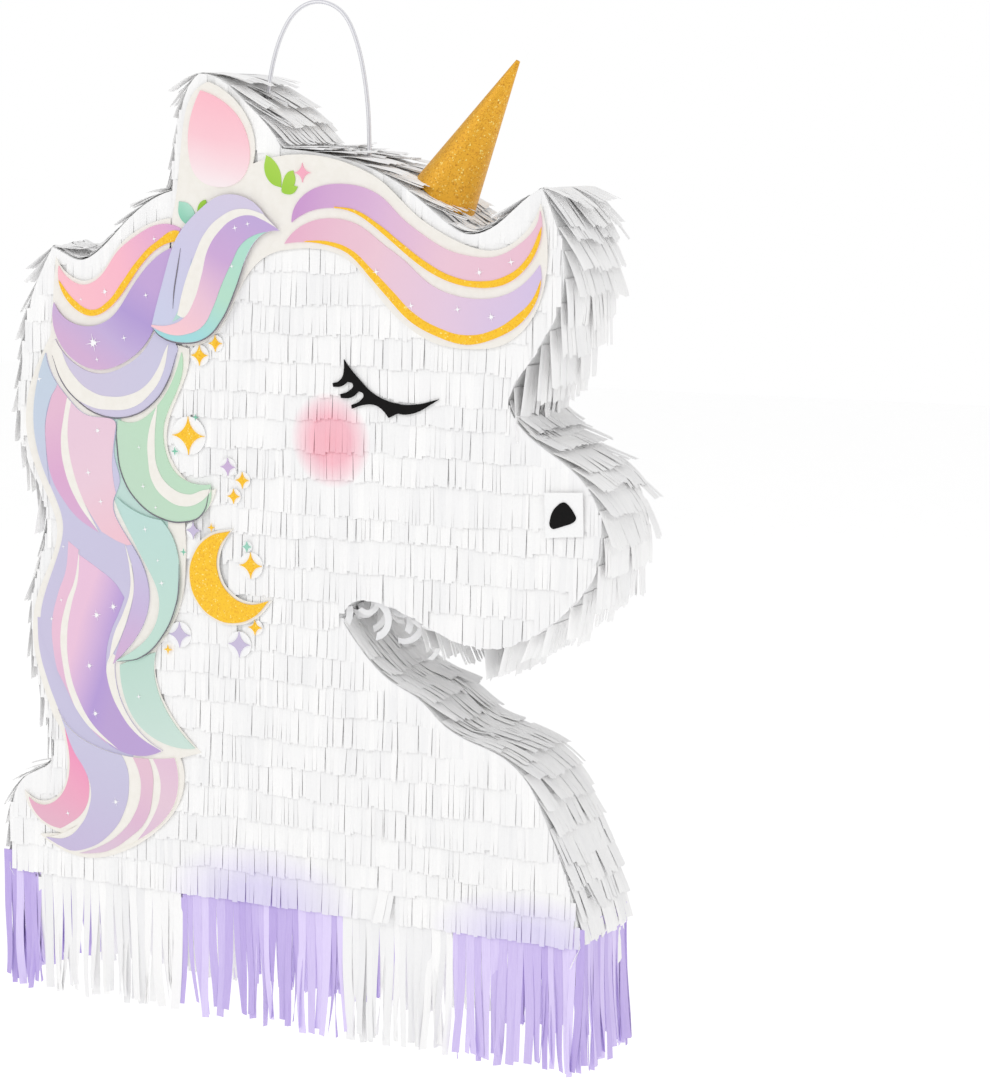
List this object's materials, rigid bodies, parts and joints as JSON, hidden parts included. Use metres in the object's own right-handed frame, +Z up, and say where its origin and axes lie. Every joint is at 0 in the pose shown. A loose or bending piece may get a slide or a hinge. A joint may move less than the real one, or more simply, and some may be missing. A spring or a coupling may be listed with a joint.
{
  "type": "pinata",
  "caption": "Flat card pinata shaped as a unicorn's head, covered in fringed tissue, with a card horn, a hanging loop and a filling door.",
  "frame": {"origin": "the top of the cord loop, on the cord's centreline, where a hook or line holds it", "axes": "+Z up, +X towards the muzzle, +Y towards the back face; the decorated face looks along -Y"},
  "size_m": [0.3325, 0.0568, 0.4972],
  "materials": {
    "white_tissue": "matt white tissue paper, fringed",
    "violet_tissue": "matt lavender tissue paper, fringed",
    "card": "white-lined grey card",
    "cream_print": "printed card, cream, satin",
    "pastel_print": "printed card, pastel gradient, satin",
    "mint_print": "printed card, mint gradient, satin",
    "gold_glitter": "gold glitter card",
    "gold_foil": "embossed gold foil card",
    "lilac_print": "printed card, lilac, satin",
    "leaf_print": "printed card, lime and mint",
    "blush": "soft pink print on white",
    "black_print": "black card, matt",
    "white_card": "white paper patch",
    "cord": "white twisted cord"
  },
  "bodies": {
    "hanger": {"hanging_loop": "cord", "loop_knots": "cord"},
    "shell": {"back_fringe": "white_tissue", "back_panel": "card", "base_wall": "card", "brow_fringe": "white_tissue", "brow_wall": "card", "cheek_patch": "blush", "chest_fringe": "white_tissue", "chest_wall": "card", "crescent_lock": "pastel_print", "crown_card": "cream_print", "crown_fringe": "white_tissue", "crown_wall": "card", "curl_locks": "pastel_print", "ear_back_fringe": "white_tissue", "ear_back_wall": "card", "ear_card": "cream_print", "ear_front_fringe": "white_tissue", "ear_front_wall": "card", "eye_card": "black_print", "forelock_lower": "pastel_print", "forelock_upper": "pastel_print", "front_fringe": "white_tissue", "front_panel": "card", "gold_stars": "gold_glitter", "green_lock": "mint_print", "horn": "gold_foil", "jaw_fringe": "white_tissue", "jaw_wall": "card", "leaf_cards": "leaf_print", "lobe_fringe": "white_tissue", "lobe_wall": "card", "long_lock": "pastel_print", "loop_plates": "card", "mane_card": "cream_print", "mint_lock": "mint_print", "mint_tail": "mint_print", "moon_backing": "cream_print", "moon_card": "gold_glitter", "nape_fringe": "white_tissue", "nape_wall": "card", "nostril_backing": "white_card", "nostril_card": "black_print", "pink_lock": "pastel_print", "poll_fringe": "white_tissue", "poll_wall": "card", "side_lock": "pastel_print", "skirt_back_violet": "violet_tissue", "skirt_back_white": "white_tissue", "skirt_chest_side": "violet_tissue", "skirt_front_violet": "violet_tissue", "skirt_front_white": "white_tissue", "skirt_neck_side": "violet_tissue", "small_stars": "lilac_print", "star_backings": "cream_print", "violet_lock": "pastel_print"},
    "filling_door": {"fill_flap": "card", "flap_fringe": "white_tissue"}
  },
  "joints": [
    {"name": "swing", "type": "hinge", "parent": "hanger", "child": "shell", "pos_m": [-0.0295, 0, -0.0516], "axis": [0.8973, 0, -0.4415], "range_deg": [-35, 35]},
    {"name": "filling_door_fold", "type": "hinge", "parent": "shell", "child": "filling_door", "pos_m": [-0.016, 0.0272, -0.1652], "axis": [1, 0, 0], "range_deg": [0, 110]}
  ]
}
